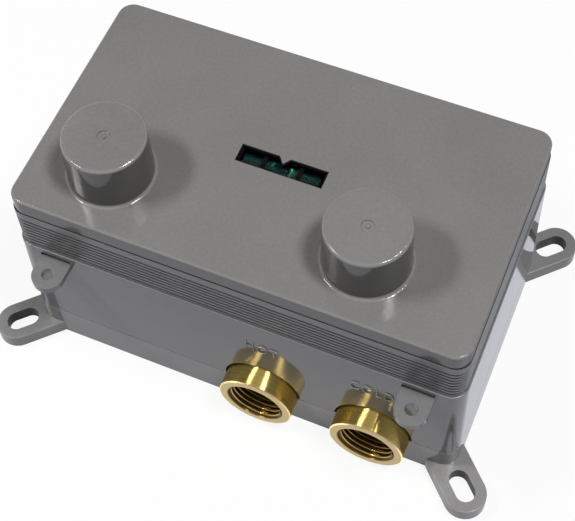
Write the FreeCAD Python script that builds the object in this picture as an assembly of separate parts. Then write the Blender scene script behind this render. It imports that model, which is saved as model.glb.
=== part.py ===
"""Concealed shower valve with temperature control, in its case for building into a wall.

Millimetres. +X runs along the inlet edge, +Y towards the outlet edge (up the wall) and
+Z out of the wall. The origin is the middle of the tray's back face.
"""
import FreeCAD
import Part
import math
import os

# Case: overall sizes
cover_width = 160.0
cover_height = 90.4
case_depth = 85.4
corner_r = 5.5
case_wall = 2.0
tray_floor = 2.5
tray_flare = 0.2
wall_draft = 0.4
socket_axis_z = 15.6
cover_side = 7.1
collar_depth = 19.4
collar_step = 0.3
collar_round = 0.3
parting_round = 0.3
ledge_step = 0.6
ledge_round = 0.4
overrun = 1.0

# Trimming grooves on the inlet and outlet faces of the collar
groove_count = 8
groove_pitch = 1.95
groove_width = 1.0
groove_depth = 0.75
groove_start = 4.0
groove_wrap = 3.2

# Fixing tabs under the ledge
tab_x = 65.8
tab_r = 5.7
tab_thickness = 2.8
tab_reach = 5.8
tab_drop = 3.8
tab_hole_r = 2.25
tab_relief = 1.8

# Slotted lugs on the tray's corners
lug_r = 7.4
lug_thickness = 6.0
lug_edge = 0.5
lug_slot_r = 3.5
lug_slot_start = 3.9
lug_slot_travel = 4.9

# Cover: caps, window and fit in the collar
cover_plate = 2.5
cover_edge = 0.9
reveal_height = 0.45
reveal_depth = 0.8
lip_depth = 6.0
lip_wall = 1.6
lip_clearance = 0.25
left_cap_side = 0.8
right_cap_side = 12.6
cap_inset = 23.0
cap_r = 14.2
cap_rise = 19.7
cap_draft = 0.5
cap_edge = 1.1
cap_foot = 1.2
cap_wall = 2.0
gate_r = 2.2
gate_depth = 0.3
nub_r = 0.8
window_width = 31.0
window_height = 7.0
window_skin = 0.9
pointer_width = 4.0
pointer_depth = 2.6

# Spirit level under the window
vial_r = 4.6
vial_length = 29.0
vial_wall = 0.9
vial_gap = 0.3
bubble_r = 1.5
bubble_length = 7.0
holder_wall = 1.4
holder_fit = 0.1
holder_top = 0.6
lining_wall = 0.4
lining_fit = 0.1
lining_drop = 0.3
clip_hold = 1.0
clip_height = 1.0
clip_length = 12.0

# Pipe sockets
cold_inset = 29.1
socket_spacing = 41.4
socket_r = 13.5
socket_reach = 7.2
socket_inside = 11.0
socket_edge = 0.4
thread_r = 10.25
thread_depth = 15.0
mouth_r = 10.55
spigot_r = 10.9
spigot_length = 8.0
spigot_fit = 0.05
water_r = 8.0
seat_fit = 0.05
socket_gap = 0.8
socket_relief = 0.5
seal_width = 3.0
seal_cover = 2.4

# Non-return valves and strainers in the inlets
filter_seat_r = 8.9
filter_thickness = 0.8
filter_fit = 0.1
filter_holes = 6
filter_hole_r = 1.6
filter_pitch = 4.6
check_gap = 0.1
check_length = 10.5
check_fit = 0.05
check_wall = 1.35
check_seat = 1.5
check_seat_r = 4.6
check_back = 2.0
check_back_holes = 4
check_back_hole_r = 1.7
check_back_pitch = 4.3
poppet_disc = 1.5
poppet_r = 6.0
poppet_stem_r = 1.5
poppet_tail = 1.1
check_spring_r = 3.3
check_wire_r = 0.35
check_turns = 3.0

# Valve body
boss_floor_gap = 0.1
boss_tail = 6.0
chamber_r = 16.5
chamber_bore_r = 13.0
chamber_floor = 5.0
chamber_depth = 38.0
riser_r = 4.0
riser_wall = 3.5
riser_offset = 6.0
port_r = 3.0
port_wall = 2.5
duct_r = 5.0
duct_wall = 3.0
duct_side = 10.7
duct_rise = 12.0
outlet_port_r = 4.0
outlet_port_pitch = 7.3
outlet_port_angles = (90.0, 270.0)
outlet_way_r = 5.0
outlet_way_wall = 3.0
outlet_boss_back = 4.0
cross_side = 5.0
ear_r = 6.0
ear_thickness = 5.0
ear_y = 1.0
side_ear_inset = 6.8
side_ear_back = 16.9
boss_screw_r = 4.5
boss_screw_height = 6.0

# Cartridges: sizes that both share
cartridge_r = 12.8
cartridge_seat = 3.0
bonnet_thread_fit = 0.05
bonnet_hex = 28.0
bonnet_hex_height = 6.0
bonnet_neck_r = 9.5
bonnet_room_r = 7.2
spindle_r = 5.0
spindle_fit = 0.05
spindle_flange_r = 6.9
spindle_flange = 2.4
spindle_flange_gap = 0.1
spline_r = 4.6
spline_root_r = 4.1
spline_teeth = 20
spline_length = 10.0
spindle_headroom = 4.0
ring_groove_r = 3.9
ring_groove = 2.0
ring_fit = 0.05
ring_sides = 8
wire_sides = 6

# Temperature cartridge
sleeve_bore_r = 9.6
sleeve_waist_r = 11.5
sleeve_flange = 2.0
sleeve_flange_r = 5.6
cold_band_rise = 18.0
hot_band_rise = 27.0
band_height = 5.0
band_inset = 1.5
band_slot = 2.5
wall_slot_count = 4
slot_angle = 56.0
mix_slot_foot = 3.0
mix_slot_height = 9.0
o_ring_r = 0.8
o_ring_squeeze = 0.1
spool_fit = 0.05
spool_wall = 1.7
spool_overlap = 1.0
spool_web = 2.0
spool_holes = 6
spool_hole_r = 1.2
element_r = 4.5
element_tail = 16.0
element_collar_r = 5.6
element_collar = 1.5
element_nose_r = 2.8
element_nose = 2.0
piston_r = 1.3
spring_r = 6.8
spring_wire_r = 0.6
spring_turns = 5.5
nut_flats = 12.0
nut_fit = 0.1
nut_height = 7.0
nut_floor = 2.3
nut_lift = 1.0
nut_bore_r = 3.6
tail_fit = 0.08

# Outlet selector cartridge
selector_wall = 1.5
gasket_height = 1.5
disc_r = 11.1
disc_height = 4.0
disc_clearance = 0.02
driver_height = 4.4
driver_r = 10.4
selector_slot_height = 8.0
selector_hole_angle = 0.0

# Screws
screw_r = 1.9
screw_head_r = 4.0
screw_head = 3.0
screw_fit = 0.05
case_screw_r = 1.5
case_screw_head_r = 3.1
case_screw_head = 2.6
case_screw_recess = 8.0
case_screw_bite = 14.0
pillar_r = 4.6
pillar_inset = 4.0
pillar_height = 32.0

# Levels and half sizes worked out from the values above
cover_hx = cover_width / 2
cover_hy = cover_height / 2
collar_hx = cover_hx + collar_step
collar_hy = cover_hy + collar_step
ledge_hx = collar_hx + ledge_step
ledge_hy = collar_hy + ledge_step
wall_hx = ledge_hx + wall_draft
wall_hy = ledge_hy + wall_draft
base_hx = wall_hx + tray_flare
base_hy = wall_hy + tray_flare
wall_corner_r = corner_r + ledge_step
room_hx = collar_hx - case_wall
room_hy = collar_hy - case_wall
room_corner_r = corner_r - case_wall
cover_rim_z = case_depth - cover_side
cover_under_z = case_depth - cover_plate
ledge_z = cover_rim_z - collar_depth
tab_top_z = ledge_z - tab_drop
tab_hole_y = wall_hy + tab_reach
vial_seat_z = case_depth - window_skin
vial_z = vial_seat_z - vial_gap - vial_r
cold_x = collar_hx - cold_inset
hot_x = cold_x - socket_spacing
left_cap_x = -cold_x - left_cap_side
right_cap_x = cold_x - right_cap_side
cap_y = cap_inset - cover_hy
mouth_y = wall_hy + socket_reach
shoulder_y = wall_hy - socket_inside
spigot_end_y = shoulder_y - spigot_length
socket_length = mouth_y - spigot_end_y
filter_back = thread_depth + filter_thickness
check_front = filter_back + check_gap
check_end = check_front + check_length
check_bore_r = water_r - check_fit - check_wall
poppet_front = check_front + check_seat
poppet_back = poppet_front + poppet_disc
boss_r = socket_axis_z - tray_floor - boss_floor_gap
chamber_floor_z = socket_axis_z + water_r + chamber_floor
chamber_top_z = chamber_floor_z + chamber_depth
cartridge_top_z = chamber_top_z - cartridge_seat
cold_band_z = chamber_floor_z + cold_band_rise
hot_band_z = chamber_floor_z + hot_band_rise
spindle_top_z = case_depth + cap_rise - cap_wall - spindle_headroom
neck_top_z = spindle_top_z - spline_length
flange_top_z = chamber_top_z + bonnet_hex_height + cartridge_seat - spindle_flange_gap
flange_bottom_z = flange_top_z - spindle_flange
ring_z = (flange_top_z + neck_top_z) / 2
spool_bottom_z = cold_band_z + band_inset + band_slot - spool_overlap
spool_top_z = hot_band_z + band_inset + spool_overlap
web_bottom_z = (spool_bottom_z + spool_top_z) / 2 - spool_web / 2
web_top_z = web_bottom_z + spool_web
nut_bottom_z = flange_bottom_z - nut_lift - nut_height
duct_y = cap_y + duct_side
duct_z = chamber_floor_z + duct_rise
ear_z = tray_floor + boss_screw_height
side_ear_x = room_hx - side_ear_inset
side_ear_y = side_ear_back - room_hy
pillar_x = room_hx - pillar_inset
pillar_y = room_hy - pillar_inset
sockets = {"hot": (hot_x, -1), "cold": (cold_x, -1), "left": (-cold_x, 1), "right": (-hot_x, 1)}
ears = [((hot_x + cold_x) / 2, ear_y), (-(hot_x + cold_x) / 2, ear_y),
        (side_ear_x, side_ear_y), (-side_ear_x, ear_y)]
pillars = [(sx * pillar_x, sy * pillar_y) for sx in (-1, 1) for sy in (-1, 1)]

X_AXIS = FreeCAD.Vector(1, 0, 0)
Y_AXIS = FreeCAD.Vector(0, 1, 0)
Z_AXIS = FreeCAD.Vector(0, 0, 1)


def at(x, y, z):
    return FreeCAD.Vector(x, y, z)


def rod_x(r, x0, x1, y, z):
    return Part.makeCylinder(r, x1 - x0, at(x0, y, z), X_AXIS)


def rod_y(r, x, y0, y1, z):
    return Part.makeCylinder(r, y1 - y0, at(x, y0, z), Y_AXIS)


def rod_z(r, x, y, z0, z1):
    return Part.makeCylinder(r, z1 - z0, at(x, y, z0), Z_AXIS)


def ring_of(outer_r, inner_r, x, y, z0, z1):
    return rod_z(outer_r, x, y, z0, z1).cut(rod_z(inner_r, x, y, z0, z1))


def block(x0, x1, y0, y1, z0, z1):
    return Part.makeBox(x1 - x0, y1 - y0, z1 - z0, at(x0, y0, z0))


def join(shapes):
    return shapes[0].multiFuse(shapes[1:]).removeSplitter()


def outline(hx, hy, r, z):
    """Rounded rectangle about the Z axis."""
    arcs = []
    centres = [(hx - r, hy - r), (r - hx, hy - r), (r - hx, r - hy), (hx - r, r - hy)]
    for turn, (cx, cy) in enumerate(centres):
        angles = [math.radians(90 * turn + step) for step in (0, 45, 90)]
        arcs.append([at(cx + r * math.cos(a), cy + r * math.sin(a), z) for a in angles])
    edges = []
    for arc, following in zip(arcs, arcs[1:] + arcs[:1]):
        edges.append(Part.Arc(*arc).toShape())
        edges.append(Part.LineSegment(arc[2], following[0]).toShape())
    return Part.Wire(edges)


def slab(hx, hy, r, z0, z1):
    return Part.Face(outline(hx, hy, r, z0)).extrude(at(0, 0, z1 - z0))


def drafted(low, high, z0, z1):
    """Block with sloping walls between two (half width, half height) outlines."""
    wires = [outline(hx, hy, wall_corner_r, z) for (hx, hy), z in ((low, z0), (high, z1))]
    return Part.makeLoft(wires, True, True)


def level_edges(shape, z):
    """Edges that lie flat at one height."""
    near = Part.Precision.confusion()
    return [e for e in shape.Edges if all(abs(v.Z - z) < near for v in e.Vertexes)]


def turned(start, steps, base, axis):
    """Solid of revolution. Points are (radius, height); a step of two points is an arc."""
    points = [at(start[0], 0, start[1])]
    edges = []
    for step in steps:
        if isinstance(step[0], tuple):
            middle, end = [at(r, 0, h) for r, h in step]
            edges.append(Part.Arc(points[-1], middle, end).toShape())
        else:
            end = at(step[0], 0, step[1])
            edges.append(Part.LineSegment(points[-1], end).toShape())
        points.append(end)
    edges.append(Part.LineSegment(points[-1], points[0]).toShape())
    solid = Part.Face(Part.Wire(edges)).revolve(at(0, 0, 0), Z_AXIS, 360)
    solid.Placement = FreeCAD.Placement(base, FreeCAD.Rotation(Z_AXIS, axis))
    return solid


def prism(points, height):
    wire = Part.makePolygon(points + points[:1])
    return Part.Face(wire).extrude(at(0, 0, height))


def hexagon(flats, x, y, z0, z1):
    r = flats / math.sqrt(3)
    angles = [math.radians(60 * k) for k in range(6)]
    return prism([at(x + r * math.cos(a), y + r * math.sin(a), z0) for a in angles], z1 - z0)


def polygon_section(mean_r, wire_r, sides):
    """Section of a wire or ring, drawn with a few flats."""
    angles = [2 * math.pi * k / sides for k in range(sides)]
    points = [at(mean_r + wire_r * math.cos(a), 0, wire_r * math.sin(a)) for a in angles]
    return Part.makePolygon(points + points[:1])


def o_ring(mean_r, wire_r, x, y, z):
    ring = Part.Face(polygon_section(mean_r, wire_r, ring_sides)).revolve(at(0, 0, 0), Z_AXIS, 360)
    ring.translate(at(x, y, z))
    return ring


def coil(mean_r, wire_r, length, turns, base, axis):
    """Compression spring standing on its base."""
    rise = length - 2 * wire_r
    helix = Part.makeHelix(rise / turns, rise, mean_r)
    spring = Part.Wire(helix.Edges).makePipeShell([polygon_section(mean_r, wire_r, wire_sides)], True, True)
    spring.translate(at(0, 0, wire_r))
    solid = Part.Solid(spring) if spring.ShapeType == "Shell" else spring
    solid.Placement = FreeCAD.Placement(base, FreeCAD.Rotation(Z_AXIS, axis)).multiply(solid.Placement)
    return solid


def sector(r, x, y, z0, z1, middle_angle, width_angle):
    """Wedge of a disc, for cutting slots through a sleeve's wall."""
    wedge = Part.makeCylinder(r, z1 - z0, at(x, y, z0), Z_AXIS, width_angle)
    wedge.rotate(at(x, y, 0), Z_AXIS, middle_angle - width_angle / 2)
    return wedge


def wall_slots(x, y, inner_r, outer_r, z0, z1):
    """Slots spaced round a sleeve's wall."""
    core = rod_z(inner_r - overrun, x, y, z0, z1)
    angles = [360 * k / wall_slot_count for k in range(wall_slot_count)]
    return [sector(outer_r + overrun, x, y, z0, z1, a, slot_angle).cut(core) for a in angles]


def tab(sx, sy):
    """Flat ear with a round end and a screw hole, standing out of the case wall."""
    z0 = tab_top_z - tab_thickness
    x = sx * tab_x
    y_root = sy * (wall_hy - case_wall / 2)
    y_hole = sy * tab_hole_y
    tongue = block(x - tab_r, x + tab_r, min(y_root, y_hole), max(y_root, y_hole), z0, tab_top_z)
    tongue = tongue.fuse(rod_z(tab_r, x, y_hole, z0, tab_top_z))
    return tongue.cut(rod_z(tab_hole_r, x, y_hole, z0, tab_top_z)).removeSplitter()


def tab_slot(sx, sy):
    """Slot through the wall above a tab."""
    x = sx * tab_x
    ys = sorted((sy * (room_hy - overrun), sy * (wall_hy + overrun)))
    return block(x - tab_r, x + tab_r, ys[0], ys[1], tab_top_z, tab_top_z + tab_relief)


def groove(number):
    """One groove round the two long faces, ending part of the way round each corner."""
    middle = cover_rim_z - groove_start - number * groove_pitch
    z0 = middle - groove_width / 2
    z1 = middle + groove_width / 2
    band = slab(collar_hx + overrun, collar_hy + overrun, corner_r + overrun, z0, z1)
    core = slab(collar_hx - groove_depth, collar_hy - groove_depth, corner_r - groove_depth, z0, z1)
    reach = collar_hy - groove_wrap
    ends = collar_hx + overrun
    sides = block(-ends, ends, -reach, reach, z0, z1)
    return band.cut(core).cut(sides)


def socket_rod(r, name, inset):
    """Cylinder on a socket's axis, from outside the case to a depth inside the wall."""
    x, side = sockets[name]
    ys = sorted((side * (base_hy + overrun), side * (wall_hy - inset)))
    return rod_y(r, x, ys[0], ys[1], socket_axis_z)


def case_posts(z0, z1):
    """Screw pillars in the corners, grown into the walls beside them."""
    inset = case_wall / 2
    inside = slab(collar_hx - inset, collar_hy - inset, corner_r - inset, z0, z1)
    return [rod_z(pillar_r, x, y, z0, z1).common(inside) for x, y in pillars]


def make_case_frame():
    wall = drafted((wall_hx, wall_hy), (ledge_hx, ledge_hy), socket_axis_z, ledge_z)
    wall = wall.makeFillet(ledge_round, level_edges(wall, ledge_z))
    wall = wall.makeFillet(parting_round, level_edges(wall, socket_axis_z))
    collar = slab(collar_hx, collar_hy, corner_r, ledge_z - ledge_step, cover_rim_z)
    collar = collar.makeFillet(collar_round, level_edges(collar, cover_rim_z))
    shell = join([wall, collar])
    room = slab(room_hx, room_hy, room_corner_r, socket_axis_z, cover_rim_z)
    shell = shell.cut(room)
    top = socket_axis_z + pillar_height
    posts = case_posts(socket_axis_z, top)
    tabs = [tab(sx, sy) for sx in (-1, 1) for sy in (-1, 1)]
    shell = join([shell] + posts + tabs)
    cuts = [groove(n) for n in range(groove_count)]
    cuts += [tab_slot(sx, sy) for sx in (-1, 1) for sy in (-1, 1)]
    cuts += [socket_rod(socket_r + socket_gap, name, socket_inside) for name in sockets]
    bite = socket_axis_z + case_screw_bite
    cuts += [rod_z(case_screw_r + screw_fit, x, y, socket_axis_z, bite) for x, y in pillars]
    return shell.cut(cuts)


def lug(sx, sy):
    """Thick slotted lug on the diagonal of one corner."""
    corner = at(base_hx, base_hy, 0)
    diagonal = at(math.sqrt(0.5), math.sqrt(0.5), 0)
    inner = corner + diagonal * lug_slot_start
    outer = inner + diagonal * lug_slot_travel
    root = corner - diagonal * (2 * lug_r)
    across = at(-diagonal.y, diagonal.x, 0)

    def bar(start, end, r, height):
        points = [start + across * r, start - across * r, end - across * r, end + across * r]
        return prism(points, height).fuse(Part.makeCylinder(r, height, end))

    body = bar(root, outer, lug_r, lug_thickness).removeSplitter()
    body = body.makeFillet(lug_edge, level_edges(body, lug_thickness))
    slot = bar(inner, outer, lug_slot_r, lug_thickness)
    slot = slot.fuse(Part.makeCylinder(lug_slot_r, lug_thickness, inner))
    body = body.cut(slot)
    if sx < 0:
        body = body.mirror(at(0, 0, 0), X_AXIS)
    if sy < 0:
        body = body.mirror(at(0, 0, 0), Y_AXIS)
    return body


def make_rear_tray():
    tub = drafted((base_hx, base_hy), (wall_hx, wall_hy), 0, socket_axis_z)
    tub = tub.makeFillet(parting_round, level_edges(tub, socket_axis_z))
    lugs = [lug(sx, sy) for sx in (-1, 1) for sy in (-1, 1)]
    room = slab(room_hx, room_hy, room_corner_r, tray_floor, socket_axis_z)
    tub = join([tub] + lugs).cut(room)
    posts = case_posts(0, socket_axis_z)
    posts += [rod_z(boss_screw_r, x, y, 0, ear_z) for x, y in ears]
    tub = join([tub] + posts)
    cuts = [socket_rod(socket_r + seat_fit, name, socket_inside) for name in sockets]
    for x, y in pillars:
        cuts.append(rod_z(case_screw_r + screw_fit, x, y, 0, socket_axis_z))
        cuts.append(rod_z(case_screw_head_r + screw_fit, x, y, 0, case_screw_recess))
    cuts += [rod_z(screw_r + screw_fit, x, y, tray_floor / 2, ear_z) for x, y in ears]
    return tub.cut(cuts)


def cap(x):
    """Outside of one hollow cap, with a rounded top edge and a filleted foot."""
    top = cap_rise
    foot_r = cap_r + cap_draft
    turn = math.sqrt(0.5)
    edge_middle = (cap_r - cap_edge + cap_edge * turn, top - cap_edge + cap_edge * turn)
    foot_middle = (foot_r + cap_foot * (1 - turn), cap_foot * (1 - turn))
    steps = [(cap_r - cap_edge, top), (edge_middle, (cap_r, top - cap_edge)), (foot_r, cap_foot),
             (foot_middle, (foot_r + cap_foot, 0)), (foot_r + cap_foot, -cover_plate), (0, -cover_plate)]
    return turned((0, top), steps, at(x, cap_y, case_depth), Z_AXIS)


def make_cover():
    plate = slab(cover_hx, cover_hy, corner_r, cover_rim_z, case_depth)
    plate = plate.makeFillet(cover_edge, level_edges(plate, case_depth))
    lip_inset = case_wall + lip_clearance
    lip_hx = collar_hx - lip_inset
    lip_hy = collar_hy - lip_inset
    lip_z = cover_rim_z - lip_depth
    lip_r = corner_r - lip_inset
    lip = slab(lip_hx, lip_hy, lip_r, lip_z, cover_rim_z)
    caps = [cap(left_cap_x), cap(right_cap_x)]
    shell = join([plate, lip])
    hollow = slab(lip_hx - lip_wall, lip_hy - lip_wall, lip_r - lip_wall, lip_z, cover_under_z)
    shell = join([shell.cut(hollow)] + caps)
    pocket_x, pocket_y = [side + holder_fit for side in holder_sides()]
    cuts = [prism([at(x, y, cover_under_z) for x, y in window_plan(0)], cover_plate), reveal(),
            block(-pocket_x, pocket_x, -pocket_y, pocket_y, cover_under_z, vial_seat_z)]
    cap_top = case_depth + cap_rise
    for x in (left_cap_x, right_cap_x):
        cuts.append(rod_z(cap_r - cap_wall, x, cap_y, cover_under_z, cap_top - cap_wall))
        cuts.append(ring_of(gate_r, nub_r, x, cap_y, cap_top - gate_depth, cap_top))
    return shell.cut(cuts)


def reveal():
    """Shadow line round the foot of the cover, above the collar."""
    z1 = cover_rim_z + reveal_height
    band = slab(cover_hx + overrun, cover_hy + overrun, corner_r + overrun, cover_rim_z, z1)
    inset = reveal_depth
    return band.cut(slab(cover_hx - inset, cover_hy - inset, corner_r - inset, cover_rim_z, z1))


def window_plan(inset):
    """Window outline, set in by a distance, with a pointer standing into it from the outlet edge."""
    hx = window_width / 2 - inset
    hy = window_height / 2 - inset
    slope = pointer_width / 2 / pointer_depth
    tip = window_height / 2 - pointer_depth - inset * math.hypot(1, slope) / slope
    half = (hy - tip) * slope
    return [(-hx, -hy), (hx, -hy), (hx, hy), (half, hy), (0, tip), (-half, hy), (-hx, hy)]


def window_lining():
    """Thin wall that lines the window from the holder's top to just under the cover's face."""
    height = window_skin - lining_drop
    outer, inner = [
        prism([at(x, y, vial_seat_z) for x, y in window_plan(inset)], height)
        for inset in (lining_fit, lining_fit + lining_wall)]
    return outer.cut(inner)


def holder_sides():
    """Half length and half width of the vial holder's box."""
    return vial_length / 2 + holder_fit + holder_wall, vial_r + holder_fit + holder_wall


def make_vial_holder():
    """Box open below, in a pocket under the window and lined up through it, with clips that hold the vial."""
    hx, hy = holder_sides()
    room_x = hx - holder_wall
    room_y = hy - holder_wall
    bottom = vial_z - vial_r - holder_wall
    box = block(-hx, hx, -hy, hy, bottom, vial_seat_z)
    room = block(-room_x, room_x, -room_y, room_y, bottom, vial_seat_z - holder_top)
    margin = lining_fit + lining_wall
    view_x = window_width / 2 - margin
    view_y = window_height / 2 - margin
    view = block(-view_x, view_x, -view_y, view_y, vial_seat_z - holder_top, vial_seat_z)
    vial_room = rod_x(room_y, -room_x, room_x, 0, vial_z)
    clip_x = clip_length / 2
    clip_y = math.sqrt(vial_r ** 2 - (vial_r - clip_hold) ** 2) + holder_fit
    clip_top = vial_z - vial_r + clip_hold
    clip_bottom = clip_top - clip_height
    clip = block(-clip_x, clip_x, -hy, hy, clip_bottom, clip_top)
    clip = clip.cut(block(-clip_x, clip_x, -clip_y, clip_y, clip_bottom, clip_top))
    return join([box.cut([room, view, vial_room]), clip, window_lining()])


def make_level_vial():
    half = vial_length / 2
    glass = rod_x(vial_r, -half, half, 0, vial_z)
    bore = rod_x(vial_r - vial_wall, vial_wall - half, half - vial_wall, 0, vial_z)
    return glass.cut(bore)


def make_vial_liquid():
    half = vial_length / 2 - vial_wall
    liquid = rod_x(vial_r - vial_wall, -half, half, 0, vial_z)
    top = vial_z + vial_r - vial_wall
    middle = bubble_length / 2 - bubble_r
    bubble = rod_x(bubble_r, -middle, middle, 0, top - bubble_r / 2)
    ends = [Part.makeSphere(bubble_r, at(x, 0, top - bubble_r / 2)) for x in (-middle, middle)]
    return liquid.cut(join([bubble] + ends))


def socket_base(name):
    x, side = sockets[name]
    return at(x, side * mouth_y, socket_axis_z), at(0, -side, 0)


def round_spots(pitch_r, count):
    """Offsets of holes spaced round a socket's axis."""
    angles = [2 * math.pi * (k + 0.5) / count for k in range(count)]
    return [at(pitch_r * math.cos(a), 0, pitch_r * math.sin(a)) for a in angles]


def make_socket(name):
    """Turned socket: threaded mouth outside, spigot into the valve body inside."""
    base, axis = socket_base(name)
    shoulder = mouth_y - shoulder_y
    lead = mouth_r - thread_r
    steps = [(socket_r - socket_edge, 0), (socket_r, socket_edge), (socket_r, shoulder), (spigot_r, shoulder),
             (spigot_r, socket_length), (water_r, socket_length), (water_r, filter_back),
             (filter_seat_r, filter_back), (filter_seat_r, thread_depth), (thread_r, thread_depth),
             (thread_r, lead)]
    return turned((mouth_r, 0), steps, base, axis)


def make_seal(name):
    """Half ring that closes the gap above a socket, behind the case wall."""
    x, side = sockets[name]
    ys = sorted((side * room_hy, side * (room_hy - seal_width)))
    outer = rod_y(socket_r + socket_gap + seal_cover, x, ys[0], ys[1], socket_axis_z)
    inner = rod_y(socket_r, x, ys[0], ys[1], socket_axis_z)
    r = 2 * socket_r
    upper = block(x - r, x + r, ys[0], ys[1], socket_axis_z, socket_axis_z + r)
    return outer.cut(inner).common(upper)


def make_filter(name):
    """Strainer disc in its seat behind the thread."""
    base, axis = socket_base(name)
    front = base + axis * thread_depth
    disc = Part.makeCylinder(filter_seat_r - filter_fit, filter_thickness, front, axis)
    holes = [Part.makeCylinder(filter_hole_r, filter_thickness, front, axis)]
    for offset in round_spots(filter_pitch, filter_holes):
        holes.append(Part.makeCylinder(filter_hole_r, filter_thickness, front + offset, axis))
    return disc.cut(holes)


def make_check_housing(name):
    base, axis = socket_base(name)
    outer_r = water_r - check_fit
    steps = [(outer_r, check_front), (outer_r, check_end), (poppet_stem_r + spindle_fit, check_end),
             (poppet_stem_r + spindle_fit, check_end - check_back), (check_bore_r, check_end - check_back),
             (check_bore_r, poppet_front), (check_seat_r, poppet_front)]
    housing = turned((check_seat_r, check_front), steps, base, axis)
    back = base + axis * (check_end - check_back)
    spots = round_spots(check_back_pitch, check_back_holes)
    holes = [Part.makeCylinder(check_back_hole_r, check_back, back + offset, axis) for offset in spots]
    return housing.cut(holes)


def make_check_poppet(name):
    base, axis = socket_base(name)
    tail = check_end + poppet_tail
    steps = [(poppet_r, poppet_front), (poppet_r, poppet_back), (poppet_stem_r, poppet_back),
             (poppet_stem_r, tail), (0, tail)]
    return turned((0, poppet_front), steps, base, axis)


def make_check_spring(name):
    base, axis = socket_base(name)
    length = check_end - check_back - poppet_back
    return coil(check_spring_r, check_wire_r, length, check_turns, base + axis * poppet_back, axis)


def ear(x, y):
    return rod_z(ear_r, x, y, ear_z, ear_z + ear_thickness)


def make_valve_body():
    """Casting with an inlet boss under each port, two cartridge chambers and the ways between."""
    z = socket_axis_z
    hot_riser_x = hot_x + riser_offset
    cold_riser_x = cold_x + riser_offset + port_r
    riser_y = -spigot_end_y + riser_r
    hot_port_z = hot_band_z + band_height / 2
    cold_port_z = cold_band_z + band_height / 2
    blind_y = riser_y + riser_r
    cross_y = cap_y - cross_side
    near_y = cap_y + outlet_port_pitch
    far_y = cap_y - outlet_port_pitch
    near_end_y = near_y - outlet_port_r
    boss_back_y = spigot_end_y - outlet_boss_back
    skin_r = riser_r + riser_wall
    way_skin_r = outlet_way_r + outlet_way_wall
    left_x = sockets["left"][0]
    right_x = sockets["right"][0]
    solids = [rod_z(chamber_r, right_cap_x, cap_y, z, chamber_top_z),
              rod_z(chamber_r, left_cap_x, cap_y, z, chamber_top_z),
              rod_y(boss_r, hot_x, -shoulder_y, blind_y + boss_tail, z),
              rod_y(boss_r, cold_x, -shoulder_y, blind_y + boss_tail, z),
              rod_y(boss_r, left_x, boss_back_y, shoulder_y, z),
              rod_y(boss_r, right_x, boss_back_y, shoulder_y, z),
              rod_y(way_skin_r, left_x, near_end_y - outlet_way_wall, boss_back_y, z),
              rod_y(way_skin_r, right_x, cross_y - way_skin_r, boss_back_y, z),
              rod_z(skin_r, hot_riser_x, riser_y, z, hot_port_z + skin_r),
              rod_z(skin_r, cold_riser_x, riser_y, z, cold_port_z + skin_r),
              rod_x(port_r + port_wall, hot_riser_x, right_cap_x, riser_y, hot_port_z),
              rod_x(port_r + port_wall, right_cap_x, cold_riser_x, riser_y, cold_port_z),
              rod_x(duct_r + duct_wall, left_cap_x, right_cap_x, duct_y, duct_z),
              rod_x(way_skin_r, left_x - way_skin_r, right_x, cross_y, z)]
    for (x, y), reach in zip(ears, ear_links()):
        solids.append(ear(x, y))
        solids.append(reach)
    body = solids[0].multiFuse(solids[1:])
    ways = [rod_z(chamber_bore_r, right_cap_x, cap_y, chamber_floor_z, chamber_top_z),
            rod_z(chamber_bore_r, left_cap_x, cap_y, chamber_floor_z, chamber_top_z),
            rod_y(spigot_r + spigot_fit, hot_x, -shoulder_y, -spigot_end_y, z),
            rod_y(spigot_r + spigot_fit, cold_x, -shoulder_y, -spigot_end_y, z),
            rod_y(spigot_r + spigot_fit, left_x, spigot_end_y, shoulder_y, z),
            rod_y(spigot_r + spigot_fit, right_x, spigot_end_y, shoulder_y, z),
            rod_y(water_r, hot_x, -spigot_end_y, blind_y, z),
            rod_y(water_r, cold_x, -spigot_end_y, blind_y, z),
            rod_y(outlet_way_r, left_x, near_end_y, spigot_end_y, z),
            rod_y(outlet_way_r, right_x, cross_y - outlet_way_r, spigot_end_y, z),
            rod_z(riser_r, hot_riser_x, riser_y, z, hot_port_z + port_r),
            rod_z(riser_r, cold_riser_x, riser_y, z, cold_port_z + port_r),
            rod_x(port_r, hot_riser_x, right_cap_x, riser_y, hot_port_z),
            rod_x(port_r, right_cap_x, cold_riser_x, riser_y, cold_port_z),
            rod_x(duct_r, left_cap_x, right_cap_x, duct_y, duct_z),
            rod_x(outlet_way_r, left_x - outlet_way_r, right_x, cross_y, z),
            rod_z(outlet_port_r, left_cap_x, near_y, z, chamber_floor_z),
            rod_z(outlet_port_r, left_cap_x, far_y, z, chamber_floor_z)]
    ways += [rod_z(screw_r + screw_fit, x, y, ear_z, ear_z + ear_thickness) for x, y in ears]
    ways += [socket_rod(socket_r + socket_relief, name, socket_inside) for name in sockets]
    return body.cut(ways)


def ear_links():
    """Webs that carry the ears out from the bosses beside them."""
    top = ear_z + ear_thickness
    riser_back = -spigot_end_y + 2 * riser_r
    return [block(hot_x, cold_x, riser_back - ear_r, ear_y, ear_z, top),
            block(-cold_x, -hot_x, ear_y - ear_r, ear_y + ear_r, ear_z, top),
            block(cold_x, side_ear_x, side_ear_y - ear_r, side_ear_y + ear_r, ear_z, top),
            block(-side_ear_x, -cold_x, ear_y - ear_r, ear_y + ear_r, ear_z, top)]


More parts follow.
